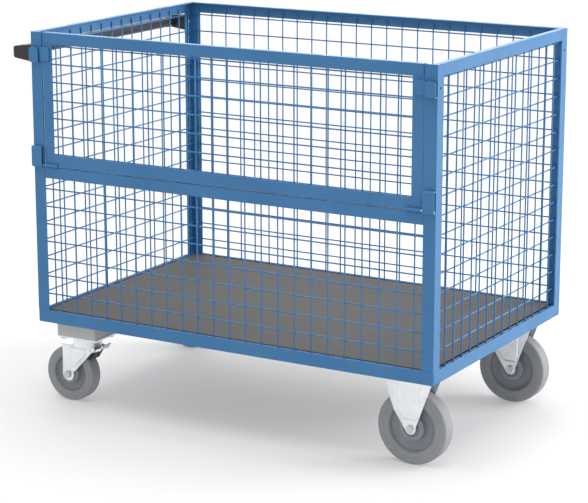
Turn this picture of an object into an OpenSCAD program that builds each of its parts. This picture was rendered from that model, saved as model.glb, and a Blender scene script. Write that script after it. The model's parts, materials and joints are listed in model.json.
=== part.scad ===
// Four-wheeled box cart with wire-mesh walls and a front upper wall that lifts off its
// catches and folds down. X runs along the length (push handle at -X), Y from the front
// to the back, Z up from the floor. The origin is the middle of the footprint.

/* [Cage] */
// Outside length of the frame
body_l = 1240; // [1040:50:1640]
// Outside depth of the frame
body_d = 800; // [600:50:1000]
// Height from the lower edge of the base skirt to the top rails
cage_h = 820; // [720:50:1120]
// Leg width of the corner posts and the base skirt
post_leg = 35; // [30:1:45]
// Leg thickness of the corner posts and the base skirt
post_t = 4; // [3:0.5:5]
// Height of the top rails and the middle rail
rail_h = 32; // [28:1:40]
// Width of the rails' flat upper leg
rail_leg = 18; // [14:1:25]
// Height of the middle rail's upper face above the skirt's lower edge
mid_rail_z = 447; // [380:1:520]

/* [Mesh] */
// Distance between neighbouring wires
mesh_pitch = 50; // [25:5:60]
// Wire diameter
wire_d = 4; // [2.5:0.5:4]
// First upright wire of the long panels, from the left outer face
wire_x0 = 30; // [20:1:34]
// First upright wire of the end panels, from the front outer face
wire_y0 = 25; // [20:1:34]
// Lowest level wire above the skirt's lower edge
wire_z0 = 33; // [32:1:45]

/* [Flap] */
// Sheet thickness of the flap's angle frame
flap_t = 3; // [2:0.5:4]
// Gap round the flap at the posts
flap_gap = 2.5; // [1:0.5:5]
// Height of the flap's lower frame member
flap_foot_h = 34; // [30:1:40]
// How far the catches and hinge straps stand in front of the posts
catch_out = 12; // [11:0.5:14]
// Sheet thickness of the catches and hinge straps
catch_t = 3.5; // [3:0.5:4]
// Diameter of the hinge pins
pin_d = 6; // [5:0.5:7]

/* [Deck] */
// Thickness of the wooden deck
deck_t = 21; // [12:1:21]
// Thickness of the cross bars under the deck
bar_t = 13; // [8:1:13]

/* [Castors] */
// Diameter of the fixed wheels
fixed_d = 200; // [160:5:200]
// Height of the fixed castors from the floor to the top of the plate
fixed_h = 245; // [235:1:260]
// Diameter of the swivel wheels
swivel_d = 160; // [125:5:160]
// Height of the swivel castors from the floor to the top of the plate
swivel_h = 200; // [195:1:215]
// Distance from the swivel axis back to the wheel's axle
trail = 50; // [40:1:60]
// How far the fixed axles sit towards the end of the cart from their plates' middle
fixed_offset = 9; // [0:1:15]
// Distance of the swivel plates' middle from the left end of the frame
swivel_inset = 100; // [100:1:160]
// Distance of the fixed plates' middle from the right end of the frame
fixed_inset = 103; // [103:1:160]
// Distance of the plates' middle from the front or back of the frame
side_inset = 90; // [90:1:140]

/* [Handle] */
// Diameter of the push bar
bar_d = 31; // [26:1:31]
// Distance from the frame's end face to the push bar's axis
handle_out = 51; // [45:1:90]
// Distance of the push bar's axis below the top of the posts
handle_drop = 60; // [50:1:90]

/* [Hidden] */
$fn = 48;
blue = "#3f7ab5";
zinc = "#c9ced3";
grey = "#8c8f94";
dark_grey = "#5b626b";
black = "#1d1d1f";
beige = "#b0a99f";
brown = "#5c4f47";

// Frame of reference
bracket_r = 17;
handle_reach = handle_out + bracket_r;
wheel_over = max(0, fixed_offset + fixed_d / 2 - fixed_inset);
x_left = (handle_reach - body_l - wheel_over) / 2;
x_right = x_left + body_l;
y_front = -(body_d - catch_out) / 2;
y_back = y_front + body_d;
z_base = fixed_h;
z_top = z_base + cage_h;

// Wires: uprights lie against the frame and level wires lie inside them
layer_gap = 0.1;
upright_in = wire_d / 2;
level_in = wire_d * 1.5 + layer_gap;
wire_end = 13;
foot_clear = 8;

// Flap
flap_x0 = post_leg + flap_gap;
flap_z0 = z_base + mid_rail_z + 2.5;
strap_z0 = z_base + mid_rail_z - 1;
strap_h = 59;
hook_z0 = z_top - 83;
hook_h = 42;
hook_w = 30;
tab_z = [z_top - 78, z_top - 40];
tab_reach = [31.2, 62];
pin_gap = 0.25;
knuckle_d = 9;
pin_y = -knuckle_d / 2;
pin_z = strap_z0 + catch_t + pin_d / 2 + pin_gap;
pin_x = [1.5, 82];
knuckle_x = [39, 81];

// Castors
plate_l = 135;
plate_w = 110;
plate_t = 4;
bolt_x = 105 / 2;
bolt_y = 80 / 2;
bolt_d = 10;
bolt_hole = 11;
head_h = 6.4;
nut_h = 8;
nut_pocket_d = 26;
nut_pocket_h = 10;
axle_d = 12;
axle_hole = 12.2;
sleeve_d = 18;
bush_bore = 18.1;
bush_d = 26;
leg_t = 4;
block_h = fixed_h - swivel_h;
crown_z = swivel_h - 34;
crown_t = 4;
cup_r = 42;
boss_r = 37;
ball_ring_r = 29;
ball_d = 6;
groove_d = 6.7;
kingpin_d = 12;
kingpin_hole = 12.1;
fixed_w = 46;
swivel_w = 42;
fixed_gap = 52;
swivel_gap = 50;
castor_left = x_left + swivel_inset;
castor_right = x_right - fixed_inset;
castor_front = y_front + side_inset;
castor_back = y_back - side_inset;
bar_w = 50;

// Brake, measured from the swivel axis
brake_pivot = [26, 158];
brake_gap = 3.5;
brake_pin_d = 6;
lever_t = 3;

// ---- shared shapes ----

// Rectangle centred on the origin with round corners
module rounded_rect(size, r) {
    square([size.x - 2 * r, size.y], center = true);
    square([size.x, size.y - 2 * r], center = true);
    for (sx = [-1, 1], sy = [-1, 1])
        translate([sx * (size.x / 2 - r), sy * (size.y / 2 - r)])
            circle(r);
}

// Angle section with its outer corner at the origin
module angle_section(leg_x, leg_y, t) {
    square([leg_x, t]);
    square([t, leg_y]);
}

// Places a child drawn at a corner of the frame, with X and Y pointing inwards
module at_corner(right = false, back = false) {
    translate([right ? x_right : x_left, back ? y_back : y_front, 0])
        mirror([right ? 1 : 0, 0, 0])
            mirror([0, back ? 1 : 0, 0])
                children();
}

// Draws a child on the left and again, mirrored, on the right
module both_ends() {
    at_corner(right = false)
        children();
    at_corner(right = true)
        children();
}

// Turns a profile drawn with X inwards and Y up into a bar that runs along X
module run_along_x(x0, x1) {
    translate([x0, 0, 0])
        rotate([90, 0, 90])
            linear_extrude(x1 - x0)
                children();
}

// Turns a profile drawn with X inwards and Y up into a bar that runs along Y
module run_along_y(y0, y1) {
    translate([0, y1, 0])
        rotate([90, 0, 0])
            linear_extrude(y1 - y0)
                children();
}

// Round rod along X
module rod_x(x0, x1, d) {
    translate([x0, 0, 0])
        rotate([0, 90, 0])
            cylinder(d = d, h = x1 - x0);
}

// Round rod along Y
module rod_y(y0, y1, d) {
    translate([0, y1, 0])
        rotate([90, 0, 0])
            cylinder(d = d, h = y1 - y0);
}

// Hexagonal head or nut along Z, measured across its flats
module hexagon(flats, h) {
    cylinder(d = flats / cos(30), h = h, $fn = 6);
}

// Points where the two tangents from p touch the circle of radius r about c
function tangent_point(p, c, r, side) =
    let (v = p - c, a = atan2(v.y, v.x) + side * acos(r / norm(v)))
    c + r * [cos(a), sin(a)];

// Shoulders at the top, given from left to right, with tangents down to a round eye
module leg_outline(top, eye, r) {
    low_left = tangent_point(top[0], eye, r, 1);
    low_right = tangent_point(top[len(top) - 1], eye, r, -1);
    polygon(concat(top, [low_right, eye, low_left]));
    translate(eye)
        circle(r);
}

// Wires of a flat panel. U runs along the panel, V up, W from the frame inwards
module wire_panel(us, vs, u_range, v_range) {
    for (u = us)
        translate([u, v_range[0], upright_in])
            rotate([-90, 0, 0])
                cylinder(d = wire_d, h = v_range[1] - v_range[0], $fn = 16);
    for (v = vs)
        translate([u_range[0], v, level_in])
            rotate([0, 90, 0])
                cylinder(d = wire_d, h = u_range[1] - u_range[0], $fn = 16);
}

long_wires = [for (x = [wire_x0 : mesh_pitch : body_l - post_leg]) x];
end_wires = [for (y = [wire_y0 : mesh_pitch : body_d - wire_end]) y];
level_wires = [for (z = [wire_z0 : mesh_pitch : cage_h - rail_h]) z];

// Puts a panel drawn as U, V, W on the inside of a long wall
module long_panel(inset, back = false) {
    translate([x_left, back ? y_back - inset : y_front + inset, z_base])
        mirror([0, back ? 1 : 0, 0])
            multmatrix([[1, 0, 0, 0], [0, 0, 1, 0], [0, 1, 0, 0], [0, 0, 0, 1]])
                children();
}

// Puts a panel drawn as U, V, W on the inside of an end wall
module end_panel(inset, right = false) {
    translate([right ? x_right - inset : x_left + inset, y_front, z_base])
        mirror([right ? 1 : 0, 0, 0])
            multmatrix([[0, 0, 1, 0], [1, 0, 0, 0], [0, 1, 0, 0], [0, 0, 0, 1]])
                children();
}

// ---- base ----

// Skirt member of a long side, full length
module skirt_long() {
    translate([0, 0, z_base])
        run_along_x(0, body_l)
            angle_section(post_leg, post_leg, post_t);
}

// Skirt member of an end, butted between the long members
module skirt_end() {
    translate([0, 0, z_base]) {
        run_along_y(post_leg, body_d - post_leg)
            angle_section(post_leg, post_leg, post_t);
        run_along_y(post_t, body_d - post_t)
            translate([0, post_t])
                square([post_t, post_leg - post_t]);
    }
}

module skirt_front() {
    color(blue)
        at_corner()
            skirt_long();
}

module skirt_back() {
    color(blue)
        at_corner(back = true)
            skirt_long();
}

module skirt_left() {
    color(blue)
        at_corner()
            skirt_end();
}

module skirt_right() {
    color(blue)
        at_corner(right = true)
            skirt_end();
}

// Runs a child at each of the four castor plates
module at_plates(lefts = true, rights = true) {
    for (y = [castor_front, castor_back]) {
        if (lefts)
            translate([castor_left, y, 0])
                children();
        if (rights)
            translate([castor_right, y, 0])
                children();
    }
}

// Runs a child at the four bolt places of one plate
module at_bolts() {
    for (sx = [-1, 1], sy = [-1, 1])
        translate([sx * bolt_x, sy * bolt_y, 0])
            children();
}

bar_xs = [
    x_left + post_leg + bar_w / 2,
    castor_left + bolt_x,
    castor_right - bolt_x,
    x_right - post_leg - bar_w / 2
];
screw_ys = [for (f = [0.25, 0.5, 0.75]) y_front + f * body_d];
screw_d = 6;

module cross_bars() {
    color(blue)
        difference() {
            for (x = bar_xs)
                translate([x - bar_w / 2, y_front + post_leg, z_base])
                    cube([bar_w, body_d - 2 * post_leg, bar_t]);
            at_plates()
                at_bolts()
                    translate([0, 0, z_base - 1])
                        cylinder(d = bolt_hole, h = bar_t + 2);
            for (x = bar_xs, y = screw_ys)
                translate([x, y, z_base - 1])
                    cylinder(d = screw_d + 0.6, h = bar_t + 2);
        }
}

deck_edge = 20;
deck_z = z_base + bar_t;
screw_bite = 12;

module deck_panel() {
    color(brown)
        difference() {
            translate([x_left + deck_edge, y_front + deck_edge, deck_z])
                cube([body_l - 2 * deck_edge, body_d - 2 * deck_edge, deck_t]);
            at_plates()
                at_bolts()
                    translate([0, 0, deck_z - 1])
                        cylinder(d = nut_pocket_d, h = nut_pocket_h + 1);
            for (x = bar_xs, y = screw_ys)
                translate([x, y, deck_z - 1])
                    cylinder(d = screw_d, h = screw_bite + 1);
        }
}

module deck_screws() {
    color(zinc)
        for (x = bar_xs, y = screw_ys)
            translate([x, y, z_base]) {
                cylinder(d = screw_d, h = bar_t + screw_bite);
                translate([0, 0, -3.5])
                    cylinder(d1 = 9, d2 = 12, h = 3.5);
            }
}

// ---- cage ----

handle_z = z_top - handle_drop;
handle_hole_y = 16.5;
handle_screw_d = 6;

// Corner post with its drilled side leg
module post() {
    color(blue)
        difference() {
            translate([0, 0, z_base + post_leg])
                linear_extrude(cage_h - post_leg)
                    angle_section(post_leg, post_leg, post_t);
            translate([-1, handle_hole_y, handle_z])
                rod_x(0, post_t + 2, handle_screw_d + 0.5);
        }
}

module post_front_left() {
    at_corner()
        post();
}

module post_front_right() {
    at_corner(right = true)
        post();
}

module post_back_left() {
    at_corner(back = true)
        post();
}

module post_back_right() {
    at_corner(right = true, back = true)
        post();
}

// Rail section: face down the outside, flat leg on top pointing inwards
module rail_section() {
    translate([0, -post_t])
        square([rail_leg, post_t]);
    translate([0, -rail_h])
        square([post_t, rail_h]);
}

// Flat leg on its own, clear of the face
module rail_flat() {
    translate([post_t, -post_t])
        square([rail_leg - post_t, post_t]);
}

module long_rail(z) {
    color(blue)
        translate([0, 0, z])
            run_along_x(post_leg, body_l - post_leg)
                rail_section();
}

// End rail whose flat leg carries on inside the posts
module end_rail() {
    color(blue)
        translate([0, 0, z_top]) {
            run_along_y(post_leg, body_d - post_leg)
                rail_section();
            run_along_y(post_t, body_d - post_t)
                rail_flat();
        }
}

// Back rail whose flat leg meets those of the end rails
module top_rail_back() {
    at_corner(back = true) {
        long_rail(z_top);
        color(blue)
            translate([0, 0, z_top])
                run_along_x(rail_leg, body_l - rail_leg)
                    rail_flat();
    }
}

module top_rail_left() {
    at_corner()
        end_rail();
}

module top_rail_right() {
    at_corner(right = true)
        end_rail();
}

module front_mid_rail() {
    at_corner()
        long_rail(z_base + mid_rail_z);
}

panel_top = cage_h - 15;

module mesh_back() {
    color(blue)
        long_panel(post_t, back = true)
            wire_panel(long_wires, level_wires, [wire_end, body_l - wire_end], [foot_clear, panel_top]);
}

module mesh_left() {
    color(blue)
        end_panel(post_t)
            wire_panel(end_wires, level_wires, [wire_end, body_d - wire_end], [foot_clear, panel_top]);
}

module mesh_right() {
    color(blue)
        end_panel(post_t, right = true)
            wire_panel(end_wires, level_wires, [wire_end, body_d - wire_end], [foot_clear, panel_top]);
}

module mesh_front_lower() {
    levels = [for (z = level_wires) if (z < mid_rail_z - post_t - wire_d) z];
    color(blue)
        long_panel(post_t)
            wire_panel(long_wires, levels, [wire_end, body_l - wire_end],
                [foot_clear, mid_rail_z - post_t - 2]);
}

// ---- flap, its catches and its hinge ----

// Side view of a strap that is bent back to the post at both ends
module strap_profile(h) {
    inner = catch_out - catch_t;
    intersection() {
        translate([-catch_out, 0])
            square([catch_out, h]);
        difference() {
            translate([0, h / 2])
                rounded_rect([2 * catch_out, h], 5);
            translate([0, h / 2])
                rounded_rect([2 * inner, h - 2 * catch_t], 1.5);
        }
    }
}

// Hook: a strap that is cut off below its upper bend, with round upper corners
module hook() {
    intersection() {
        run_along_x(0, hook_w)
            difference() {
                strap_profile(hook_h + 12);
                translate([-catch_out, hook_h])
                    square([catch_out, 20]);
            }
        translate([hook_w / 2, 1, hook_h / 2 - 10])
            rotate([90, 0, 0])
                linear_extrude(catch_out + 2)
                    rounded_rect([hook_w, hook_h + 20], 8);
    }
}

module catch_hooks() {
    color(blue)
        both_ends()
            translate([0, 0, hook_z0])
                hook();
}

module hinge_straps() {
    color(blue)
        both_ends()
            translate([0, 0, strap_z0])
                run_along_x(0, post_leg - 2)
                    strap_profile(strap_h);
}

module hinge_pins() {
    color(zinc)
        both_ends()
            translate([0, pin_y, pin_z])
                rod_x(pin_x[0], pin_x[1], pin_d);
}

// Flap member along X: face leg at the front, flat leg at the top or foot
module flap_rail(z, h, flat_up) {
    color(blue)
        at_corner()
            translate([0, 0, z])
                run_along_x(flap_x0 + flap_t, body_l - flap_x0 - flap_t) {
                    square([flap_t, h]);
                    translate([0, flat_up ? h - flap_t : 0])
                        square([rail_leg, flap_t]);
                }
}

// Flap member up one end: face leg between the rails, side leg over the full height
module flap_stile(right) {
    color(blue)
        at_corner(right = right) {
            translate([flap_x0, 0, flap_z0 + flap_foot_h])
                cube([rail_h, flap_t, z_top - rail_h - flap_z0 - flap_foot_h]);
            translate([flap_x0, 0, flap_z0])
                cube([flap_t, rail_leg, z_top - flap_z0]);
        }
}

module flap_top_rail() {
    flap_rail(z_top - rail_h, rail_h, true);
}

// Knuckle that turns on a hinge pin, with the weld that joins it to the flap
module knuckle() {
    length = knuckle_x[1] - knuckle_x[0];
    difference() {
        union() {
            rod_x(knuckle_x[0], knuckle_x[1], knuckle_d);
            translate([knuckle_x[0], 0, -knuckle_d / 4])
                cube([length, knuckle_d / 2, knuckle_d / 2]);
        }
        rod_x(knuckle_x[0] - 1, knuckle_x[1] + 1, pin_d + 0.1);
    }
}

module flap_bottom_rail() {
    flap_rail(flap_z0, flap_foot_h, false);
    color(blue)
        both_ends()
            translate([0, pin_y, pin_z])
                knuckle();
}

module flap_stile_left() {
    flap_stile(false);
}

module flap_stile_right() {
    flap_stile(true);
}

module flap_mesh() {
    uprights = [for (x = long_wires) if (x > flap_x0 + flap_t + wire_d) x];
    lowest = flap_z0 - z_base + flap_t + 1;
    levels = [for (z = level_wires) if (z > lowest + wire_d) z];
    color(blue)
        long_panel(flap_t)
            wire_panel(uprights, levels, [flap_x0 + 9, body_l - flap_x0 - 9],
                [lowest + 2, panel_top]);
}

// Tab plates that bridge the gap and rest in front of the posts beside the hooks
module flap_tabs() {
    color(blue)
        both_ends()
            translate([0, 0, tab_z[0]]) {
                translate([tab_reach[0], -5.5, 0])
                    cube([tab_reach[1] - tab_reach[0], 4, tab_z[1] - tab_z[0]]);
                translate([flap_x0 + 3, -1.5, 0])
                    cube([tab_reach[1] - flap_x0 - 3, 1.5, tab_z[1] - tab_z[0]]);
            }
}

// ---- push handle ----

bracket_h = 48;
bracket_w = 33;
socket_y = 22;
sleeve_y = 60;
screw_in = 25;

module handle_bar() {
    color(black)
        translate([x_left - handle_out, 0, handle_z])
            rod_y(y_front + socket_y, y_back - socket_y, bar_d);
}

// Moulded end bracket with a sleeve round the bar, drawn at a left corner with X inwards
module handle_bracket() {
    difference() {
        union() {
            intersection() {
                translate([0, bracket_w + 1, handle_z])
                    rotate([90, 0, 0])
                        linear_extrude(bracket_w)
                            rotate(-90)
                                leg_outline(bracket_h / 2 * [[-1, 0], [1, 0]], [0, -handle_out], bracket_r);
                translate([0, bracket_w / 2 + 1, handle_z - bracket_h])
                    linear_extrude(2 * bracket_h)
                        rounded_rect([2 * handle_reach, bracket_w], 13);
            }
            translate([-handle_out, 0, handle_z])
                rod_y(bracket_w / 2, sleeve_y, 2 * bracket_r - 1);
        }
        translate([-handle_out, 0, handle_z])
            rod_y(socket_y, sleeve_y + 1, bar_d);
        translate([-screw_in, handle_hole_y, handle_z])
            rod_x(0, screw_in + 1, handle_screw_d);
    }
}

module handle_brackets() {
    color(black) {
        at_corner()
            handle_bracket();
        at_corner(back = true)
            handle_bracket();
    }
}

module handle_screw() {
    translate([-screw_in, handle_hole_y, handle_z])
        rod_x(0, screw_in + post_t, handle_screw_d);
    translate([post_t, handle_hole_y, handle_z])
        rotate([0, 90, 0])
            cylinder(d1 = 12, d2 = 9, h = 3);
}

module handle_screws() {
    color(zinc) {
        at_corner()
            handle_screw();
        at_corner(back = true)
            handle_screw();
    }
}

// ---- castors: fixed parts ----

module spacer_blocks() {
    color(beige)
        difference() {
            at_plates(rights = false)
                translate([0, 0, swivel_h])
                    linear_extrude(block_h)
                        rounded_rect([plate_l - 4, plate_w], 5);
            at_plates(rights = false) {
                at_bolts()
                    translate([0, 0, swivel_h - 1])
                        cylinder(d = bolt_hole, h = block_h + 2);
                translate([0, 0, swivel_h - 1])
                    cylinder(d = 26, h = 9);
            }
        }
}

// Hexagon bolt: head from z0 down, shank up to above the nut
module castor_bolt(z0) {
    translate([0, 0, z0 - head_h])
        hexagon(16, head_h);
    translate([0, 0, z0 - head_h / 2])
        cylinder(d = bolt_d, h = z_base + bar_t + nut_h + 1 - z0 + head_h / 2);
}

module castor_bolts() {
    color(zinc) {
        at_plates(rights = false)
            at_bolts()
                castor_bolt(swivel_h - plate_t);
        at_plates(lefts = false)
            at_bolts()
                castor_bolt(z_base - plate_t);
    }
}

module castor_nuts() {
    color(zinc)
        at_plates()
            at_bolts()
                translate([0, 0, z_base + bar_t])
                    difference() {
                        hexagon(17, nut_h);
                        translate([0, 0, -1])
                            cylinder(d = bolt_d, h = nut_h + 2);
                    }
}

// Plate outline with its four bolt holes
module plate_outline() {
    difference() {
        rounded_rect([plate_l, plate_w], 8);
        at_bolts()
            circle(d = bolt_hole);
    }
}

ball_z = swivel_h - 13;

module swivel_plates() {
    color(zinc)
        at_plates(rights = false) {
            difference() {
                translate([0, 0, swivel_h - plate_t])
                    linear_extrude(plate_t)
                        plate_outline();
                translate([0, 0, swivel_h - plate_t - 1])
                    cylinder(d = kingpin_d, h = plate_t + 2);
            }
            rotate_extrude()
                difference() {
                    translate([kingpin_d / 2, ball_z])
                        square([boss_r - kingpin_d / 2, swivel_h - plate_t - ball_z]);
                    translate([ball_ring_r, ball_z])
                        circle(d = groove_d, $fn = 32);
                }
        }
}

module swivel_kingpins() {
    color(zinc)
        at_plates(rights = false) {
            translate([0, 0, crown_z - 3])
                cylinder(d = kingpin_d, h = swivel_h + 1 - crown_z + 3);
            translate([0, 0, swivel_h])
                cylinder(d = 20, h = 5);
            translate([0, 0, crown_z - 7])
                hexagon(18, 6.8);
        }
}

module swivel_ball_rings() {
    color(zinc)
        at_plates(rights = false)
            rotate_extrude()
                translate([ball_ring_r, ball_z])
                    circle(d = ball_d, $fn = 32);
}

// Pair of legs either side of the wheel
module fork_legs(gap, bore_at) {
    for (s = [-1, 1])
        translate([0, s * (gap + leg_t) / 2 + leg_t / 2, 0])
            rotate([90, 0, 0])
                linear_extrude(leg_t)
                    difference() {
                        children();
                        translate(bore_at)
                            circle(d = axle_hole);
                    }
}

// Pressed panels that stand proud of the legs' outer faces
module leg_ribs(gap) {
    for (s = [-1, 1])
        translate([0, s * (gap / 2 + leg_t + 0.4) + 0.8, 0])
            rotate([90, 0, 0])
                linear_extrude(1.6)
                    children();
}

fixed_eye = [fixed_offset, fixed_d / 2];

module fixed_leg_outline() {
    top = z_base - plate_t + 0.5;
    edge = plate_l / 2 - 1;
    leg_outline([[-39, fixed_eye.y + 43], [-edge, top - 20], [-edge, top], [edge, top]], fixed_eye, 16);
}

module fixed_forks() {
    color(zinc)
        at_plates(lefts = false) {
            translate([0, 0, z_base - plate_t])
                linear_extrude(plate_t)
                    plate_outline();
            fork_legs(fixed_gap, fixed_eye)
                fixed_leg_outline();
            leg_ribs(fixed_gap)
                polygon([[-29, 150], [-29, 229], [30, 229], [30, 142], [-20, 142]]);
        }
}

// Bolt, sleeve and nut of one axle, drawn about the wheel's middle
module axle_set(gap) {
    outer = gap / 2 + leg_t;
    rod_y(-outer - 3, outer + 11, axle_d);
    translate([0, -outer, 0])
        rotate([90, 0, 0])
            hexagon(18, 7.5);
    difference() {
        translate([0, outer + 10, 0])
            rotate([90, 0, 0])
                hexagon(18, 10);
        rod_y(outer - 1, outer + 11, axle_d);
    }
    difference() {
        rod_y(-gap / 2, gap / 2, sleeve_d);
        rod_y(-gap / 2 - 1, gap / 2 + 1, axle_hole);
    }
}

module fixed_axles() {
    color(zinc)
        at_plates(lefts = false)
            translate([fixed_eye.x, 0, fixed_eye.y])
                axle_set(fixed_gap);
}

// ---- castors: swivelling parts ----

swivel_eye = [-trail, swivel_d / 2];

module at_swivel(rear) {
    translate([castor_left, rear ? castor_back : castor_front, 0])
        children();
}

// Straight rear edge, a sloping front edge that runs up to the brake, and a round eye
module swivel_leg_outline() {
    top = crown_z + crown_t;
    rear = -trail - 20;
    polygon([
        [rear, swivel_eye.y],
        [rear, top],
        [42, top],
        [42, top - 10],
        [31, top - 18],
        [swivel_eye.x + 12, swivel_eye.y]
    ]);
    translate(swivel_eye)
        circle(20);
}

module swivel_fork(rear) {
    color(zinc)
        at_swivel(rear) {
            difference() {
                union() {
                    translate([-trail - 20, -swivel_gap / 2 - 0.5, crown_z])
                        cube([trail + 55, swivel_gap + 1, crown_t]);
                    translate([0, 0, crown_z])
                        cylinder(r = cup_r, h = crown_t);
                }
                translate([0, 0, crown_z - 1])
                    cylinder(d = kingpin_hole, h = crown_t + 2);
            }
            difference() {
                union() {
                    fork_legs(swivel_gap, swivel_eye)
                        swivel_leg_outline();
                    leg_ribs(swivel_gap)
                        polygon([[-39, 104], [-39, 162], [12, 162], [12, 142], [-26, 104]]);
                }
                translate([brake_pivot.x, 0, brake_pivot.y])
                    rod_y(-50, 50, brake_pin_d + 0.1);
            }
            // cup that holds the lower half of the ball ring
            rotate_extrude()
                difference() {
                    union() {
                        translate([10, crown_z + crown_t - 0.5])
                            square([cup_r - 10, ball_z - 1 - crown_z - crown_t + 0.5]);
                        translate([boss_r + 1, crown_z + crown_t])
                            square([cup_r - boss_r - 1, ball_z + 4 - crown_z - crown_t]);
                    }
                    translate([ball_ring_r, ball_z])
                        circle(d = groove_d, $fn = 32);
                }
        }
}

module swivel_fork_front() {
    swivel_fork(false);
}

module swivel_fork_rear() {
    swivel_fork(true);
}

module swivel_axle(rear) {
    color(zinc)
        at_swivel(rear)
            translate([swivel_eye.x, 0, swivel_eye.y])
                axle_set(swivel_gap);
}

module swivel_axle_front() {
    swivel_axle(false);
}

module swivel_axle_rear() {
    swivel_axle(true);
}

// Side view of the foot lever: hub, arm and upturned end
module lever_outline() {
    arm = 36;
    tilt = 16;
    translate(brake_pivot) {
        circle(d = 12);
        rotate(tilt) {
            translate([0, -lever_t / 2])
                square([arm, lever_t]);
            translate([arm, 0])
                circle(d = lever_t, $fn = 24);
            translate([arm, 0])
                rotate(45)
                    translate([0, -lever_t / 2])
                        square([10, lever_t]);
        }
    }
}

// Foot lever with side cheeks and its pivot pin
module brake_pedal(rear) {
    w = swivel_gap - 8;
    outer = swivel_gap / 2 + leg_t + 2;
    color(zinc)
        at_swivel(rear) {
            translate([brake_pivot.x, 0, brake_pivot.y])
                rod_y(-outer, outer, brake_pin_d);
            translate([0, w / 2, 0])
                rotate([90, 0, 0])
                    linear_extrude(w)
                        lever_outline();
            for (y = [-w / 2 + 2, w / 2])
                translate([0, y, 0])
                    rotate([90, 0, 0])
                        linear_extrude(2)
                            translate(brake_pivot)
                                polygon([[0, -6], [5, -6], [34, 5], [34, 10], [0, 0]]);
        }
}

module brake_pedal_front() {
    brake_pedal(false);
}

module brake_pedal_rear() {
    brake_pedal(true);
}

// Shoe under the lever whose face follows the tread
module brake_shoe(rear) {
    w = swivel_w - 8;
    tread = swivel_d / 2;
    color(black)
        at_swivel(rear)
            translate([0, w / 2, 0])
                rotate([90, 0, 0])
                    linear_extrude(w)
                        difference() {
                            translate(brake_pivot)
                                polygon([
                                    [0, 0],
                                    [22, 6],
                                    [2, -26],
                                    [-10, -32],
                                    [-20, -12]
                                ]);
                            lever_outline();
                            translate(swivel_eye)
                                circle(tread + brake_gap, $fn = 96);
                        }
}

module brake_shoe_front() {
    brake_shoe(false);
}

module brake_shoe_rear() {
    brake_shoe(true);
}

// ---- wheels ----

// Tyre of outer radius r on a rim of radius rim_r
module tyre(r, w, rim_r) {
    shoulder = w * 0.13;
    color(grey)
        rotate([90, 0, 0])
            rotate_extrude($fn = 96) {
                translate([rim_r, -w / 2])
                    square([r - shoulder - rim_r, w]);
                translate([rim_r, -w / 2 + shoulder])
                    square([r - rim_r, w - 2 * shoulder]);
                for (s = [-1, 1])
                    translate([r - shoulder, s * (w / 2 - shoulder)])
                        circle(shoulder, $fn = 32);
            }
}

// Moulded rim: hub, web and barrel in one revolved section
module rim(w, rim_r, hub_r, hub_w) {
    web = w - 2 - 2 * rim_recess;
    wall = 6;
    half = [
        [bush_d / 2, hub_w / 2],
        [hub_r - 2, hub_w / 2],
        [hub_r, hub_w / 2 - 2],
        [hub_r + 2, web / 2],
        [rim_r - wall - 2, web / 2],
        [rim_r - wall, w / 2 - 1],
        [rim_r, w / 2 - 1]
    ];
    other = [for (i = [len(half) - 1 : -1 : 0]) [half[i].x, -half[i].y]];
    color(dark_grey)
        rotate([90, 0, 0])
            rotate_extrude($fn = 96)
                polygon(concat(half, other));
}

module bush(hub_w) {
    color(black)
        rotate([90, 0, 0])
            difference() {
                cylinder(d = bush_d, h = hub_w, center = true);
                cylinder(d = bush_bore, h = hub_w + 2, center = true);
            }
}

fixed_rim_r = 71;
swivel_rim_r = 58;
fixed_hub_r = 36;
swivel_hub_r = 29;
rim_recess = 15;
hub_play = 4;

module at_swivel_wheel(rear) {
    at_swivel(rear)
        translate([swivel_eye.x, 0, swivel_eye.y])
            children();
}

module at_fixed_wheel(rear) {
    translate([castor_right + fixed_eye.x, rear ? castor_back : castor_front, fixed_eye.y])
        children();
}

module swivel_tyre_front() {
    at_swivel_wheel(false)
        tyre(swivel_d / 2, swivel_w, swivel_rim_r);
}

module swivel_rim_front() {
    at_swivel_wheel(false)
        rim(swivel_w, swivel_rim_r, swivel_hub_r, swivel_gap - hub_play);
}

module swivel_bush_front() {
    at_swivel_wheel(false)
        bush(swivel_gap - hub_play);
}

module swivel_tyre_rear() {
    at_swivel_wheel(true)
        tyre(swivel_d / 2, swivel_w, swivel_rim_r);
}

module swivel_rim_rear() {
    at_swivel_wheel(true)
        rim(swivel_w, swivel_rim_r, swivel_hub_r, swivel_gap - hub_play);
}

module swivel_bush_rear() {
    at_swivel_wheel(true)
        bush(swivel_gap - hub_play);
}

module fixed_tyre_front() {
    at_fixed_wheel(false)
        tyre(fixed_d / 2, fixed_w, fixed_rim_r);
}

module fixed_rim_front() {
    at_fixed_wheel(false)
        rim(fixed_w, fixed_rim_r, fixed_hub_r, fixed_gap - hub_play);
}

module fixed_bush_front() {
    at_fixed_wheel(false)
        bush(fixed_gap - hub_play);
}

module fixed_tyre_rear() {
    at_fixed_wheel(true)
        tyre(fixed_d / 2, fixed_w, fixed_rim_r);
}

module fixed_rim_rear() {
    at_fixed_wheel(true)
        rim(fixed_w, fixed_rim_r, fixed_hub_r, fixed_gap - hub_play);
}

module fixed_bush_rear() {
    at_fixed_wheel(true)
        bush(fixed_gap - hub_play);
}

// ---- output ----

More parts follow.
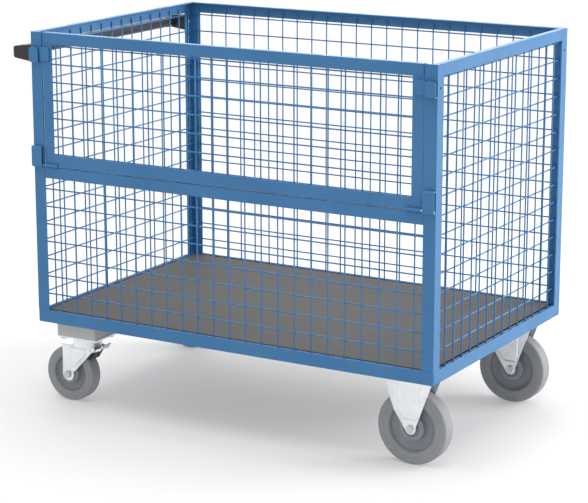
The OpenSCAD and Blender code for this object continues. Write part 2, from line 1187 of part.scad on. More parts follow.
skirt_front();
skirt_back();
skirt_left();
skirt_right();
cross_bars();
deck_panel();
deck_screws();
post_front_left();
post_front_right();
post_back_left();
post_back_right();
top_rail_back();
top_rail_left();
top_rail_right();
front_mid_rail();
mesh_back();
mesh_left();
mesh_right();
mesh_front_lower();
catch_hooks();
hinge_straps();
hinge_pins();
flap_top_rail();
flap_bottom_rail();
flap_stile_left();
flap_stile_right();
flap_mesh();
flap_tabs();
handle_bar();
handle_brackets();
handle_screws();
spacer_blocks();
castor_bolts();
castor_nuts();
swivel_plates();
swivel_kingpins();
swivel_ball_rings();
swivel_fork_front();
swivel_fork_rear();
swivel_axle_front();
swivel_axle_rear();
brake_pedal_front();
brake_pedal_rear();
brake_shoe_front();
brake_shoe_rear();
fixed_forks();
fixed_axles();
swivel_tyre_front();
swivel_rim_front();
swivel_bush_front();
swivel_tyre_rear();
swivel_rim_rear();
swivel_bush_rear();
fixed_tyre_front();
fixed_rim_front();
fixed_bush_front();
fixed_tyre_rear();
fixed_rim_rear();
fixed_bush_rear();
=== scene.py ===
"""Mesh-sided platform cart: finishes, fine geometry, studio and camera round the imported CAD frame."""

import json
import math

import bmesh
import bpy
from mathutils import Matrix, Vector
from mathutils.geometry import delaunay_2d_cdt

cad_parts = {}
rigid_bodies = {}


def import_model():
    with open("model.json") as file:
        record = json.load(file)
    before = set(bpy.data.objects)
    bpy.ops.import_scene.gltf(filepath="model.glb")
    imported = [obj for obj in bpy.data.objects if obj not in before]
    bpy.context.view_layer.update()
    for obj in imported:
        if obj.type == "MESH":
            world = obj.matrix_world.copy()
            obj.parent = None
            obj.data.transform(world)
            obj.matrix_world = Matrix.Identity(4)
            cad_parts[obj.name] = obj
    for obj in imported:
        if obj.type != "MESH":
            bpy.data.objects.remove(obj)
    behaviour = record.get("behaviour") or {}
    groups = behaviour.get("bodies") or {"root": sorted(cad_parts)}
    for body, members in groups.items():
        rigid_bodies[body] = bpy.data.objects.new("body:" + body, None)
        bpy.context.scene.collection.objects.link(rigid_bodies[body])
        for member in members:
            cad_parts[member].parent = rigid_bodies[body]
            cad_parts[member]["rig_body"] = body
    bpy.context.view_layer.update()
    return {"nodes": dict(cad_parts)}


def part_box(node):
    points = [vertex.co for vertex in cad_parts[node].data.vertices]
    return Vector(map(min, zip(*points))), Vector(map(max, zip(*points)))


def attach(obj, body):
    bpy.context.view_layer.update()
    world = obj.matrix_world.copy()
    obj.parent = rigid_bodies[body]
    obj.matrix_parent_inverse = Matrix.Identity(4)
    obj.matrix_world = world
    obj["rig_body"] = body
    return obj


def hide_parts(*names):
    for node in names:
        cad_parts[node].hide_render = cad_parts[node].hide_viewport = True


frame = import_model()
NODES = frame["nodes"]
MM = 0.001
X, Y = 0, 1
ENDS = ("front", "rear")


# ---------------------------------------------------------------- materials


class Shader:
    """A material with short calls for the nodes that the finishes below share."""

    def __init__(self, name, roughness, metallic=0.0, **sockets):
        self.material = bpy.data.materials.new(name)
        self.material.use_nodes = True
        self.nodes = self.material.node_tree.nodes
        self.links = self.material.node_tree.links
        self.surface = self.nodes["Principled BSDF"]
        self.set("Roughness", roughness)
        self.set("Metallic", metallic)
        for socket, value in sockets.items():
            self.set(socket.replace("_", " "), value)
        self.place = self.node("ShaderNodeTexCoord").outputs["Object"]

    def set(self, socket, value):
        """Gives a socket of the surface a value, or links a node's output to it."""
        if hasattr(value, "links"):
            self.links.new(value, self.surface.inputs[socket])
        else:
            self.surface.inputs[socket].default_value = value

    def node(self, kind, **settings):
        """Adds a node with these properties."""
        made = self.nodes.new(kind)
        for key, value in settings.items():
            setattr(made, key, value)
        return made

    def feed(self, made, **inputs):
        """Sets or links a node's inputs; an underscore in a name stands for a space."""
        for key, value in inputs.items():
            socket = made.inputs[key.replace("_", " ")]
            if hasattr(value, "links"):
                self.links.new(value, socket)
            else:
                socket.default_value = value
        return made

    def stretched(self, scale):
        """Object coordinates, scaled along each axis."""
        made = self.feed(self.node("ShaderNodeMapping"), Vector=self.place)
        made.inputs["Scale"].default_value = scale
        return made.outputs["Vector"]

    def noise(self, scale, detail=3.0, roughness=0.5, vector=None):
        made = self.node("ShaderNodeTexNoise")
        self.feed(made, Vector=vector or self.place, Scale=scale, Detail=detail, Roughness=roughness)
        return made.outputs["Fac"]

    def cells(self, scale):
        """Distance to the nearest point of a random grid of cells."""
        made = self.node("ShaderNodeTexVoronoi", feature="F1")
        self.feed(made, Vector=self.place, Scale=scale)
        return made.outputs["Distance"]

    def ramp(self, value, first, last):
        """Grey that runs between two stops, each one a value and its grey."""
        made = self.node("ShaderNodeValToRGB")
        self.links.new(value, made.inputs["Fac"])
        for step, (at, grey) in zip(made.color_ramp.elements, (first, last)):
            step.position = at
            step.color = (grey, grey, grey, 1.0)
        return made.outputs["Color"]

    def math(self, operation, *values):
        made = self.node("ShaderNodeMath", operation=operation)
        for socket, value in zip(made.inputs, values):
            self.links.new(value, socket)
        return made.outputs["Value"]

    def mix(self, factor, a, b):
        """Blends two colours; Blender numbers the colour mix's sockets 6 and 7, and its result 2."""
        made = self.node("ShaderNodeMix", data_type="RGBA")
        self.links.new(factor, made.inputs[0])
        for index, value in ((6, a), (7, b)):
            socket = made.inputs[index]
            if hasattr(value, "links"):
                self.links.new(value, socket)
            else:
                socket.default_value = (*value, 1.0)
        return made.outputs[2]

    def bump(self, height, strength, distance, under=None):
        """Normal roughened by a height, on top of the normal under it."""
        made = self.node("ShaderNodeBump")
        self.feed(made, Height=height, Strength=strength, Distance=distance)
        if under is not None:
            self.links.new(under, made.inputs["Normal"])
        return made.outputs["Normal"]

    def finish(self, colour, normal, roughness):
        """Links the last colour, normal and roughness, and gives the material."""
        self.set("Base Color", colour)
        self.set("Normal", normal)
        self.set("Roughness", roughness)
        return self.material


def make_paint():
    """Blue powder coat: fine orange peel, a faint cloudy change of shade and small lighter specks."""
    s = Shader("powder_coat_blue", 0.38, Specular_IOR_Level=0.3)
    cloud = s.noise(7.0, 4.0)
    speck = s.noise(420.0, 2.0)
    base = s.mix(s.ramp(cloud, (0.35, 0.0), (0.65, 1.0)), (0.039, 0.156, 0.338), (0.047, 0.173, 0.365))
    base = s.mix(s.ramp(speck, (0.66, 0.0), (0.80, 0.25)), base, (0.06, 0.20, 0.40))
    peel = s.noise(900.0, 2.0)
    normal = s.bump(peel, 0.10, 0.00015, s.bump(s.noise(160.0, 1.0), 0.05, 0.0004))
    gloss = s.ramp(s.noise(24.0, 5.0), (0.3, 0.33), (0.7, 0.44))
    return s.finish(base, normal, gloss)


def make_zinc(name, tint, rough):
    """Bright zinc plating on pressed steel: soft spangle, rolling lines and small marks."""
    s = Shader(name, rough, 1.0)
    spangle = s.cells(260.0)
    cloud = s.noise(30.0, 5.0)
    lines = s.noise(240.0, 3.0, 0.6, s.stretched((1.0, 1.0, 0.03)))
    dark = tuple(0.86 * c for c in tint)
    base = s.mix(s.ramp(cloud, (0.30, 0.0), (0.75, 1.0)), tint, dark)
    base = s.mix(s.ramp(spangle, (0.0, 0.12), (0.7, 0.0)), base, (0.70, 0.73, 0.78))
    normal = s.bump(lines, 0.06, 0.0002, s.bump(s.noise(700.0, 2.0), 0.06, 0.0001))
    gloss = s.ramp(s.noise(90.0, 4.0), (0.3, rough - 0.06), (0.7, rough + 0.10))
    return s.finish(base, normal, gloss)


def make_tyre():
    """Grey elastic rubber: matt, with a fine moulded grain and faint scuffing."""
    s = Shader("tyre_grey_rubber", 0.62, Specular_IOR_Level=0.35)
    cloud = s.noise(14.0, 5.0)
    scuff = s.noise(60.0, 6.0, 0.7)
    base = s.mix(s.ramp(cloud, (0.3, 0.0), (0.7, 1.0)), (0.240, 0.244, 0.257), (0.276, 0.280, 0.293))
    base = s.mix(s.ramp(scuff, (0.60, 0.0), (0.80, 0.35)), base, (0.33, 0.33, 0.335))
    normal = s.bump(s.noise(1500.0, 3.0, 0.6), 0.14, 0.0001, s.bump(scuff, 0.06, 0.0005))
    return s.finish(base, normal, s.ramp(scuff, (0.3, 0.55), (0.7, 0.72)))


def make_moulded(name, low, high, rough):
    """Injection moulded plastic with a spark-eroded grain."""
    s = Shader(name, rough, Specular_IOR_Level=0.5)
    cloud = s.noise(20.0, 4.0)
    base = s.mix(s.ramp(cloud, (0.3, 0.0), (0.7, 1.0)), low, high)
    rub = s.noise(45.0, 6.0, 0.65)
    base = s.mix(s.ramp(rub, (0.62, 0.0), (0.85, 0.2)), base, tuple(1.8 * c for c in high))
    normal = s.bump(s.cells(900.0), 0.16, 0.00012, s.bump(rub, 0.04, 0.0005))
    return s.finish(base, normal, s.ramp(rub, (0.3, rough - 0.05), (0.75, rough + 0.10)))


def make_deck():
    """Film-faced plywood: grey film with a woven print; the plies show through the dark sealed edges, whose
    colour is darkened further to near black as painted shade of the gap beside the skirt.
    """
    s = Shader("film_faced_plywood", 0.7, Specular_IOR_Level=0.12)
    weave_a = s.node("ShaderNodeTexWave", bands_direction="X")
    weave_b = s.node("ShaderNodeTexWave", bands_direction="Y")
    for weave in (weave_a, weave_b):
        s.feed(weave, Vector=s.place, Scale=62.0, Distortion=0.25, Detail=1.0)
    print_height = s.math("MULTIPLY", weave_a.outputs["Fac"], weave_b.outputs["Fac"])
    cloud = s.noise(3.2, 6.0, 0.6)
    grit = s.noise(320.0, 3.0, 0.6)
    film = s.mix(s.ramp(cloud, (0.30, 0.0), (0.70, 1.0)), (0.079, 0.076, 0.074), (0.101, 0.097, 0.093))
    film = s.mix(s.ramp(print_height, (0.25, 0.0), (0.9, 0.45)), film, (0.122, 0.118, 0.113))
    film = s.mix(s.ramp(grit, (0.62, 0.0), (0.78, 0.35)), film, (0.14, 0.14, 0.14))
    plies = s.node("ShaderNodeTexWave", bands_direction="Z")
    s.feed(plies, Vector=s.place, Scale=115.0, Distortion=0.6, Detail=2.0, Detail_Scale=2.0)
    # Near-black edge colour: the sealed ply edges, darkened further as painted shade of the gap between the
    # deck and the skirt.
    sealed_edge_and_gap_shade = s.mix(plies.outputs["Fac"], (0.020, 0.016, 0.013), (0.052, 0.042, 0.034))
    facing = s.node("ShaderNodeNewGeometry").outputs["Normal"]
    upright = s.node("ShaderNodeSeparateXYZ")
    s.links.new(facing, upright.inputs[0])
    flat = s.ramp(s.math("ABSOLUTE", upright.outputs["Z"]), (0.45, 0.0), (0.55, 1.0))
    base = s.mix(flat, sealed_edge_and_gap_shade, film)
    normal = s.bump(print_height, 0.22, 0.0005, s.bump(grit, 0.10, 0.0002))
    return s.finish(base, normal, s.ramp(cloud, (0.3, 0.66), (0.7, 0.78)))


def make_spacer():
    """Satin beige-grey enamel on the spacer blocks."""
    s = Shader("spacer_enamel", 0.5, Specular_IOR_Level=0.4)
    cloud = s.ramp(s.noise(18.0, 5.0), (0.3, 0.0), (0.7, 1.0))
    base = s.mix(cloud, (0.42, 0.415, 0.405), (0.48, 0.475, 0.46))
    base = s.mix(s.ramp(s.noise(240.0, 3.0), (0.62, 0.0), (0.8, 0.3)), base, (0.52, 0.51, 0.50))
    normal = s.bump(s.noise(700.0, 2.0), 0.12, 0.00015)
    return s.finish(base, normal, s.ramp(s.noise(40.0, 4.0), (0.3, 0.44), (0.7, 0.58)))


def make_floor():
    """Pale studio floor that glows a little more with distance, so that it meets the white background."""
    s = Shader("studio_floor", 0.9, Specular_IOR_Level=0.1, Emission_Color=(1.0, 1.0, 1.0, 1.0))
    reach = s.node("ShaderNodeVectorMath", operation="LENGTH")
    s.links.new(s.stretched((0.06, 0.06, 0.06)), reach.inputs[0])
    s.set("Emission Strength", s.ramp(reach.outputs["Value"], (0.06, 0.28), (0.96, 0.41)))
    s.set("Base Color", s.mix(s.noise(1.5, 3.0), (0.49, 0.49, 0.49), (0.51, 0.51, 0.51)))
    return s.material


PAINT = make_paint()
ZINC = make_zinc("zinc_plated_sheet", (0.88, 0.90, 0.92), 0.38)
BOLT = make_zinc("zinc_plated_fastener", (0.58, 0.60, 0.62), 0.30)
TYRE = make_tyre()
RIM = make_moulded("rim_polyamide", (0.205, 0.222, 0.246), (0.235, 0.254, 0.279), 0.42)
BUSH = make_moulded("bush_plastic", (0.02, 0.02, 0.023), (0.03, 0.03, 0.033), 0.4)
BLACK = make_moulded("handle_plastic", (0.016, 0.016, 0.017), (0.024, 0.024, 0.026), 0.42)
SHOE = make_moulded("brake_shoe_plastic", (0.010, 0.010, 0.011), (0.018, 0.018, 0.019), 0.5)
DECK = make_deck()
SPACER = make_spacer()
FLOOR = make_floor()


# ---------------------------------------------------------------- geometry


def add_piece(name, shape, material, node, smooth):
    """A new mesh that replaces a CAD node and rides on the same body."""
    mesh = bpy.data.meshes.new(name)
    mesh.from_pydata([tuple(v) for v in shape.verts], [], shape.faces)
    bm = bmesh.new()
    bm.from_mesh(mesh)
    bmesh.ops.recalc_face_normals(bm, faces=bm.faces)
    bm.to_mesh(mesh)
    bm.free()
    mesh.polygons.foreach_set("use_smooth", [True] * len(mesh.polygons))
    mesh.set_sharp_from_angle(angle=math.radians(smooth))
    mesh.materials.append(material)
    piece = bpy.data.objects.new(name, mesh)
    bpy.context.scene.collection.objects.link(piece)
    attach(piece, NODES[node]["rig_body"])
    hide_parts(node)


class Shape:
    """Vertices and faces of one piece, gathered from several closed forms."""

    def __init__(self):
        self.verts = []
        self.faces = []

    def loft(self, rings, closed=False):
        """Joins rings of equal length, and then the last to the first if closed, or else caps both ends."""
        start, n = len(self.verts), len(rings[0])
        for ring in rings:
            self.verts.extend(ring)
        count = len(rings)
        for i in range(count if closed else count - 1):
            a, b = start + i * n, start + (i + 1) % count * n
            for j in range(n):
                k = (j + 1) % n
                self.faces.append((a + j, a + k, b + k, b + j))
        if not closed:
            self.faces.append(tuple(start + j for j in reversed(range(n))))
            self.faces.append(tuple(start + (count - 1) * n + j for j in range(n)))

    def rod(self, start, end, radius, sides, chamfer):
        """Round bar between two points, with chamfered ends."""
        start, end = Vector(start), Vector(end)
        along = (end - start).normalized()
        side = along.orthogonal().normalized()
        other = along.cross(side)
        steps = [(0.0, radius - chamfer), (chamfer, radius)]
        length = (end - start).length
        steps += [(length - at, r) for at, r in reversed(steps)]
        rings = []
        for at, r in steps:
            middle = start + along * at
            turn = [2 * math.pi * j / sides for j in range(sides)]
            rings.append([middle + (side * math.cos(t) + other * math.sin(t)) * r for t in turn])
        self.loft(rings)

    def lathe(self, profile, centre, axis, sides):
        """Turns a closed outline of (radius, offset) points about an axis through centre."""
        rings = []
        for i in range(sides):
            t = 2 * math.pi * i / sides
            c, s = math.cos(t), math.sin(t)
            if axis == "Y":
                rings.append([Vector((r * c, y, r * s)) + centre for r, y in profile])
            else:
                rings.append([Vector((r * c, r * s, y)) + centre for r, y in profile])
        self.loft(rings, closed=True)

    def slab(self, outline, to_space, low, high):
        """Closed outline pushed between two depths; to_space maps (u, v, depth) to a point."""
        self.loft([[to_space(u, v, d) for u, v in outline] for d in (low, high)])


# An arc may use up this much of a side of its corner, so that two arcs never meet.
LONGEST_CUT = 0.49


def rounded(points, radius, steps):
    """Outline with its corners turned into arcs; radius is one value or one per corner."""
    out, n = [], len(points)
    radii = radius if isinstance(radius, (list, tuple)) else [radius] * n
    for i, r in enumerate(radii):
        p, a, b = Vector(points[i]), Vector(points[i - 1]), Vector(points[(i + 1) % n])
        if r <= 0:
            out.append(tuple(p))
            continue
        u, v = (a - p).normalized(), (b - p).normalized()
        half = u.angle(v) / 2
        cut = min(r / math.tan(half), (a - p).length * LONGEST_CUT, (b - p).length * LONGEST_CUT)
        r = cut * math.tan(half)
        centre = p + (u + v).normalized() * (r / math.sin(half))
        first, last = p + u * cut - centre, p + v * cut - centre
        sweep = first.angle_signed(last)
        for k in range(steps + 1):
            t = -sweep * k / steps
            c, s = math.cos(t), math.sin(t)
            q = Vector((c * first.x - s * first.y, s * first.x + c * first.y))
            out.append(tuple(centre + q))
    return out


# Edges sharper than BEVEL_ANGLE are rounded; faces within FLAT_ANGLE of each other become one.
BEVEL_ANGLE = math.radians(28.0)
FLAT_ANGLE = math.radians(0.6)
SAME_CORNER = 0.01 * MM


def dress(names, material, bevel=0.0, segments=2):
    """Gives CAD nodes a finish, and rounds their edges with modifiers."""
    for name in names:
        piece = NODES[name]
        piece.data.materials.clear()
        piece.data.materials.append(material)
        stored_normals = piece.data.attributes.get("custom_normal")
        if stored_normals:
            piece.data.attributes.remove(stored_normals)
        piece.data.polygons.foreach_set("use_smooth", [True] * len(piece.data.polygons))
        weld = piece.modifiers.new("join_corners", "WELD")
        weld.merge_threshold = SAME_CORNER
        if bevel:
            flat = piece.modifiers.new("whole_faces", "DECIMATE")
            flat.decimate_type = "DISSOLVE"
            flat.angle_limit = FLAT_ANGLE
            edge = piece.modifiers.new("soft_edges", "BEVEL")
            edge.width = bevel
            edge.segments = segments
            edge.limit_method = "ANGLE"
            edge.angle_limit = BEVEL_ANGLE
            edge.harden_normals = True


# ---------------------------------------------------------------- frame, deck and small parts

FRAME_NODES = [
    "skirt_front", "skirt_back", "skirt_left", "skirt_right", "cross_bars",
    "post_front_left", "post_front_right", "post_back_left", "post_back_right",
    "top_rail_back", "top_rail_left", "top_rail_right", "front_mid_rail",
    "flap_top_rail", "flap_bottom_rail", "flap_stile_left", "flap_stile_right",
]
dress(FRAME_NODES, PAINT, 1.7 * MM, 3)
dress(["catch_hooks", "hinge_straps", "flap_tabs"], PAINT, 0.6 * MM)
dress(["deck_panel"], DECK, 0.8 * MM)
dress(["spacer_blocks"], SPACER, 1.2 * MM, 3)
dress(["handle_brackets"], BLACK, 1.5 * MM, 3)
dress(["handle_bar"], BLACK, 0.8 * MM)
dress(["swivel_plates"], ZINC, 0.8 * MM, 3)
dress(["brake_pedal_front", "brake_pedal_rear"], ZINC, 0.4 * MM)
dress(["brake_shoe_front", "brake_shoe_rear"], SHOE, 0.8 * MM)
dress(["castor_bolts", "castor_nuts", "deck_screws", "handle_screws"], BOLT, 0.3 * MM)
dress(["swivel_kingpins", "swivel_axle_front", "swivel_axle_rear", "fixed_axles"], BOLT, 0.3 * MM)
dress(["hinge_pins"], BOLT, 0.4 * MM)
dress(["swivel_ball_rings"], BOLT)
dress(["swivel_bush_front", "swivel_bush_rear", "fixed_bush_front", "fixed_bush_rear"], BUSH, 0.3 * MM)


# ---------------------------------------------------------------- wire meshes

WIRE_R = 2 * MM
WIRE_SIDES = 12
WIRE_CHAMFER = 0.5 * MM
PITCH = 50 * MM
# The CAD leaves LAYER_GAP between the two layers of wire, and welding sinks them SINK into each other.
LAYER_GAP = 0.1 * MM
SINK = 0.5 * MM
# The first wires of the walls along X and along Y, and the lowest level ones, from the skirt's corner.
FIRST_ALONG = (30 * MM, 25 * MM)
FIRST_LEVEL = 33 * MM
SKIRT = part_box("skirt_front")[0]


def wire_runs(low, high, first):
    """Places of the wires between two limits, counted from the first."""
    start = math.ceil((low - first) / PITCH)
    end = math.floor((high - first) / PITCH)
    return [first + PITCH * i for i in range(start, end + 1)]


def wire_panel(node, along, outward):
    """Welded mesh in a CAD panel's box: along is its wall's axis, and outward points to the frame."""
    low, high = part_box(node)
    across = Y if along == X else X
    frame_side = low[across] if outward < 0 else high[across]
    upright_at = frame_side - outward * WIRE_R
    level_at = frame_side - outward * (3 * WIRE_R + LAYER_GAP - SINK)
    shape = Shape()

    def point(u, w, z):
        return (u, w, z) if along == X else (w, u, z)

    for u in wire_runs(low[along] + WIRE_R, high[along] - WIRE_R, SKIRT[along] + FIRST_ALONG[along]):
        ends = point(u, upright_at, low.z), point(u, upright_at, high.z)
        shape.rod(*ends, WIRE_R, WIRE_SIDES, WIRE_CHAMFER)
    for z in wire_runs(low.z + WIRE_R, high.z - WIRE_R, SKIRT.z + FIRST_LEVEL):
        ends = point(low[along], level_at, z), point(high[along], level_at, z)
        shape.rod(*ends, WIRE_R, WIRE_SIDES, WIRE_CHAMFER)
    add_piece(node + "_wires", shape, PAINT, node, 50.0)


wire_panel("mesh_back", X, 1)
wire_panel("mesh_front_lower", X, -1)
wire_panel("flap_mesh", X, -1)
wire_panel("mesh_left", Y, -1)
wire_panel("mesh_right", Y, 1)


# ---------------------------------------------------------------- wheels

WHEEL_SIDES = 128
HUB_BORE = 13 * MM
RIM_RECESS = 15 * MM


def turned(points, radii, steps, centre):
    """Turns half a section and its mirror image about an axle along Y; the corner radii are in mm."""
    outline = points + [(r, -y) for r, y in reversed(points)]
    corners = [r * MM for r in radii + radii[::-1]]
    shape = Shape()
    shape.lathe(rounded(outline, corners, steps), centre, "Y", WHEEL_SIDES)
    return shape


def tyre(rim_r, outer, half, centre):
    """Rubber tyre with a ring groove in each side wall and round shoulders."""
    groove = -half + 0.7 * MM
    points = [
        (rim_r, -half + 0.8 * MM),
        (rim_r + 1.5 * MM, -half + 0.2 * MM),
        (rim_r + 9 * MM, -half),
        (rim_r + 10 * MM, groove),
        (rim_r + 12 * MM, groove),
        (rim_r + 13 * MM, -half),
        (outer - 1.2 * MM, -half + 0.9 * MM),
        (outer, -half + 8 * MM),
    ]
    return turned(points, [0, 0.6, 0.5, 0.5, 0.5, 0.5, 4.5, 9], 6, centre)


def rim(hub_r, rim_r, hub_half, lip, centre):
    """Moulded rim: a stepped hub, a sunk web and a lip under the tyre."""
    web = lip - RIM_RECESS
    points = [
        (HUB_BORE, hub_half - 3 * MM),
        (hub_r - 13 * MM, hub_half - 3 * MM),
        (hub_r - 12 * MM, hub_half),
        (hub_r - 6 * MM, hub_half),
        (hub_r - 5 * MM, hub_half - 1.6 * MM),
        (hub_r - 1 * MM, hub_half - 2.2 * MM),
        (hub_r + 0.6 * MM, web + 0.6 * MM),
        (hub_r + 3 * MM, web),
        (rim_r - 17 * MM, web + 1.2 * MM),
        (rim_r - 9 * MM, web + 4.5 * MM),
        (rim_r - 5.2 * MM, lip - 1 * MM),
        (rim_r - 3.4 * MM, lip),
        (rim_r, lip),
    ]
    return turned(points, [0, 0.3, 0.5, 0.6, 0.6, 1.2, 1.2, 1, 6, 6, 0.8, 0.5, 0], 4, centre)


def wheel(kind, end, hub_r, rim_r):
    """Tyre and rim of one castor, about the middle of the CAD tyre."""
    tyre_node, rim_node = f"{kind}_tyre_{end}", f"{kind}_rim_{end}"
    low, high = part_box(tyre_node)
    centre = (low + high) / 2
    half = (high.y - low.y) / 2
    hub_low, hub_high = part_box(rim_node)
    hub_half = (hub_high.y - hub_low.y) / 2
    tread = tyre(rim_r, (high.z - low.z) / 2, half, centre)
    add_piece(tyre_node + "_rubber", tread, TYRE, tyre_node, 40.0)
    disc = rim(hub_r, rim_r, hub_half, half - 1 * MM, centre)
    add_piece(rim_node + "_disc", disc, RIM, rim_node, 32.0)


for end in ENDS:
    wheel("swivel", end, 29 * MM, 58 * MM)
    wheel("fixed", end, 36 * MM, 71 * MM)


# ---------------------------------------------------------------- castor forks


# A corner of an outline moves no farther than 1 / LEAST_COSINE times the inset.
LEAST_COSINE = 0.5


def inset(outline, by):
    """Counter-clockwise outline moved inwards along the mean of its neighbouring edges' normals."""
    out, n = [], len(outline)
    for i in range(n):
        p, a, b = (Vector(outline[k % n]) for k in (i, i - 1, i + 1))
        u, v = (p - a).normalized(), (b - p).normalized()
        edge_normal = Vector((-u.y, u.x))
        normal = Vector((-u.y - v.y, u.x + v.x)).normalized()
        out.append(tuple(p + normal * by / max(LEAST_COSINE, normal.dot(edge_normal))))
    return out


def counter_clockwise(outline):
    """The outline, turned round if it runs clockwise."""
    area = sum(a[0] * b[1] - b[0] * a[1] for a, b in zip(outline, outline[1:] + outline[:1]))
    return outline if area > 0 else outline[::-1]


# Rings of a pressed leg as (inset, rise) in mm: its round edge, then the groove and the raised panel.
LEG_EDGE = [(0.0, -1.0), (0.35, -0.35), (1.1, 0.0)]
LEG_PANEL = [(-4.4, -0.1), (-2.6, -1.6), (-1.4, -1.6), (1.0, 1.0), (2.2, 1.1)]
# The strips beside the panel lean back by this slope, down to this depth.
LEAN_SLOPE = 0.13
LEAN_LIMIT = 2.7 * MM
# delaunay_2d_cdt keeps only the triangles inside the outline, and takes points this close as one.
INSIDE_ONLY = 1
SAME_POINT = 1e-7


def pressed_leg(shape, outline, panel, to_space, low, high):
    """Sheet leg with round edges, a raised panel in a groove, and strips beside it that lean back."""
    outline, panel = counter_clockwise(outline), counter_clockwise(panel)
    left, right = min(u for u, v in panel), max(u for u, v in panel)

    def lean(u):
        return min(LEAN_LIMIT, LEAN_SLOPE * max(0.0, left - u, u - right))

    rings = [(inset(outline, by * MM), rise * MM) for by, rise in LEG_EDGE]
    rings += [(inset(panel, by * MM), rise * MM) for by, rise in LEG_PANEL]
    points, depths, edges = [], [], []
    for ring, rise in rings:
        start = len(points)
        for i, (u, v) in enumerate(ring):
            points.append(Vector((u, v)))
            depths.append(high - lean(u) + rise)
            edges.append((start + i, start + (i + 1) % len(ring)))
    n = len(outline)
    made = delaunay_2d_cdt(points, edges, [list(range(n))], INSIDE_ONLY, SAME_POINT)
    flat, tris, sources = made[0], made[2], made[3]
    start = len(shape.verts)
    found = {}
    for i, (p, source) in enumerate(zip(flat, sources)):
        for k in source:
            found[k] = start + i
        depth = depths[source[0]] if source else high - lean(p.x)
        shape.verts.append(Vector(to_space(p.x, p.y, depth)))
    shape.faces.extend(tuple(start + k for k in tri) for tri in tris)
    back = len(shape.verts)
    shape.verts.extend(Vector(to_space(u, v, low)) for u, v in outline)
    for i in range(n):
        k = (i + 1) % n
        shape.faces.append((found[i], found[k], back + k, back + i))
    shape.faces.append(tuple(back + i for i in range(n)))


def millimetres(points):
    return [(u * MM, v * MM) for u, v in points]


def leg_outline(eye, rest, radii):
    """A leg's outline in mm: the arc round the axle's eye, then the other corners with their radii."""
    corners = [0] * len(eye) + radii
    return rounded(millimetres(eye + rest), [r * MM for r in corners], 5)


def eye_arc(centre, radius, first, last, steps=14):
    """Points in mm along an arc between two angles in degrees."""
    turn = [math.radians(first + (last - first) * i / steps) for i in range(steps + 1)]
    return [(centre[0] + radius * math.cos(t), centre[1] + radius * math.sin(t)) for t in turn]


def bent_strip(shape, section, x0, x1):
    """Pushes an outline in Y and Z along X."""
    shape.loft([[Vector((x, y, z)) for y, z in section] for x in (x0, x1)])


def fixed_fork(shape, x, y):
    """Top plate and two pressed legs of a fixed castor about the plate's middle."""
    plate = rounded(millimetres([(-67.5, -55), (67.5, -55), (67.5, 55), (-67.5, 55)]), 8 * MM, 6)

    def on_plate(u, v, depth):
        return Vector((x + u, y + v, depth))

    for low, high, size in ((241.0, 244.4, 1.0), (244.4, 245.0, 0.99)):
        shape.slab([(u * size, v * size) for u, v in plate], on_plate, low * MM, high * MM)
    outline = leg_outline(
        eye_arc((9, 100), 16, 203, 376),
        [(66.5, 222), (66.5, 241.5), (-66.5, 241.5), (-66.5, 221), (-54.5, 178), (-39, 143)],
        [9, 0, 0, 9, 30, 30],
    )
    panel = [(-29, 233), (-29, 152), (-6, 126), (24, 126), (30, 142), (30, 233)]
    panel = rounded(millimetres(panel), 6 * MM, 4)
    fillet = [(29.2, 241.2), (29.2, 235.5), (30.0, 235.0), (30.6, 238.2), (32.4, 240.4), (36.0, 241.2)]
    for side in (-1, 1):
        pressed_leg(shape, outline, panel, lambda u, v, d: (x + u, y + side * d, v), 26 * MM, 30 * MM)
        bent_strip(shape, [(y + side * v * MM, z * MM) for v, z in fillet], x - 64 * MM, x + 64 * MM)


def swivel_fork(shape, x, y):
    """Crown, ball cup and two pressed legs of a swivel castor about its upright axis."""
    outline = leg_outline(
        eye_arc((-50, 80), 20, 180, 385),
        [(-23, 94.5), (31, 152), (42, 160), (42, 169), (35, 169.5), (-70, 169.5)],
        [5, 12, 5, 4, 0, 3],
    )
    panel = rounded(millimetres([(-39, 162), (-39, 106), (-28, 106), (12, 146), (12, 162)]), 5 * MM, 4)
    for side in (-1, 1):
        pressed_leg(shape, outline, panel, lambda u, v, d: (x + u, y + side * d, v), 25 * MM, 29 * MM)
    crown = [(-27, 166), (27, 166), (27, 169.2), (26.2, 170), (-26.2, 170), (-27, 169.2)]
    bent_strip(shape, [(y + v * MM, z * MM) for v, z in crown], x - 69.5 * MM, x + 35 * MM)
    cup = [
        (6.1, 166), (41, 166), (42, 167), (42, 190), (41.2, 191), (38.8, 191), (38, 190.2),
        (38, 186), (10, 186), (10, 170), (6.1, 170),
    ]
    radii = [0, 1, 1, 0.8, 1, 0.8, 0.5, 1, 0, 0, 0]
    cup = rounded(millimetres(cup), [r * MM for r in radii], 3)
    shape.lathe(cup, Vector((x, y, 0)), "Z", 96)


def middle_of(node):
    low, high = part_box(node)
    return (low + high) / 2


# How far each castor's wheel stands from the middle of its plate, along X.
FIXED_OFFSET = 9 * MM
SWIVEL_TRAIL = 50 * MM

forks = Shape()
for end in ENDS:
    hub = middle_of("fixed_rim_" + end)
    fixed_fork(forks, hub.x - FIXED_OFFSET, hub.y)
add_piece("fixed_forks_pressed", forks, ZINC, "fixed_forks", 30.0)
for end in ENDS:
    node = "swivel_fork_" + end
    hub = middle_of("swivel_rim_" + end)
    fork = Shape()
    swivel_fork(fork, hub.x + SWIVEL_TRAIL, hub.y)
    add_piece(node + "_pressed", fork, ZINC, node, 30.0)


# ---------------------------------------------------------------- stage, light and camera

FLOOR_HALF = 30.0
# The camera's sensor and lens in mm, its place in metres, and its yaw, pitch and roll in degrees.
SENSOR = 36.0
LENS = 127.438776
CAMERA_PLACE = (2.8911, -4.9203, 1.8157)
CAMERA_TURN = (-30.322, -13.595, -0.034)
NEAREST, FARTHEST = 0.05, 200.0


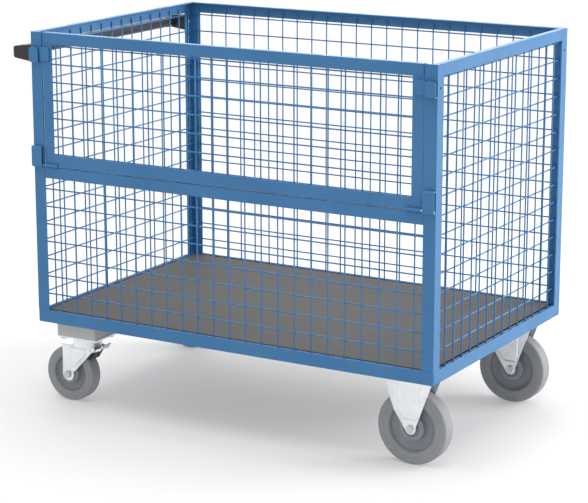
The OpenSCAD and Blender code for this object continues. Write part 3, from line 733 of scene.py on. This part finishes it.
def add_stage():
    """Square floor under the object."""
    mesh = bpy.data.meshes.new("floor")
    corners = [(x * FLOOR_HALF, y * FLOOR_HALF, 0.0) for x, y in ((-1, -1), (1, -1), (1, 1), (-1, 1))]
    mesh.from_pydata(corners, [], [(0, 1, 2, 3)])
    mesh.materials.append(FLOOR)
    floor = bpy.data.objects.new("floor", mesh)
    bpy.context.scene.collection.objects.link(floor)


def add_area(name, place, target, size, power):
    """White rectangular light of size (width, height) in metres and power in watts, aimed at target."""
    data = bpy.data.lights.new(name, "AREA")
    data.shape = "RECTANGLE"
    data.size, data.size_y = size
    data.energy = power
    lamp = bpy.data.objects.new(name, data)
    lamp.location = place
    lamp.rotation_mode = "QUATERNION"
    lamp.rotation_quaternion = (Vector(target) - Vector(place)).to_track_quat("-Z", "Y")
    bpy.context.scene.collection.objects.link(lamp)


def add_world(strength):
    """White surroundings."""
    world = bpy.data.worlds.new("studio")
    world.use_nodes = True
    background = world.node_tree.nodes["Background"]
    background.inputs["Color"].default_value = (1.0, 1.0, 1.0, 1.0)
    background.inputs["Strength"].default_value = strength
    bpy.context.scene.world = world


def add_camera():
    """Long lens at the photograph's angle."""
    data = bpy.data.cameras.new("camera")
    data.sensor_width = SENSOR
    data.lens = LENS
    data.clip_start, data.clip_end = NEAREST, FARTHEST
    camera = bpy.data.objects.new("camera", data)
    yaw, pitch, roll = (math.radians(angle) for angle in CAMERA_TURN)
    forward = Vector((math.sin(yaw) * math.cos(pitch), math.cos(yaw) * math.cos(pitch), math.sin(pitch)))
    camera.location = CAMERA_PLACE
    camera.rotation_mode = "QUATERNION"
    turn = forward.to_track_quat("-Z", "Y") @ Matrix.Rotation(roll, 3, "Z").to_quaternion()
    camera.rotation_quaternion = turn
    bpy.context.scene.collection.objects.link(camera)
    bpy.context.scene.camera = camera


add_stage()
add_world(0.82)
add_area("back", (-5.5, 10.6, 4.7), (0.0, 0.0, 0.8), (13.0, 6.5), 530.0)
add_area("right", (5.5, 3.5, 2.4), (0.3, 0.0, 0.5), (4.0, 3.6), 400.0)
add_area("top", (0.0, -0.5, 5.5), (0.0, 0.0, 0.5), (5.0, 5.0), 200.0)
add_camera()
bpy.context.scene.view_settings.view_transform = "Standard"
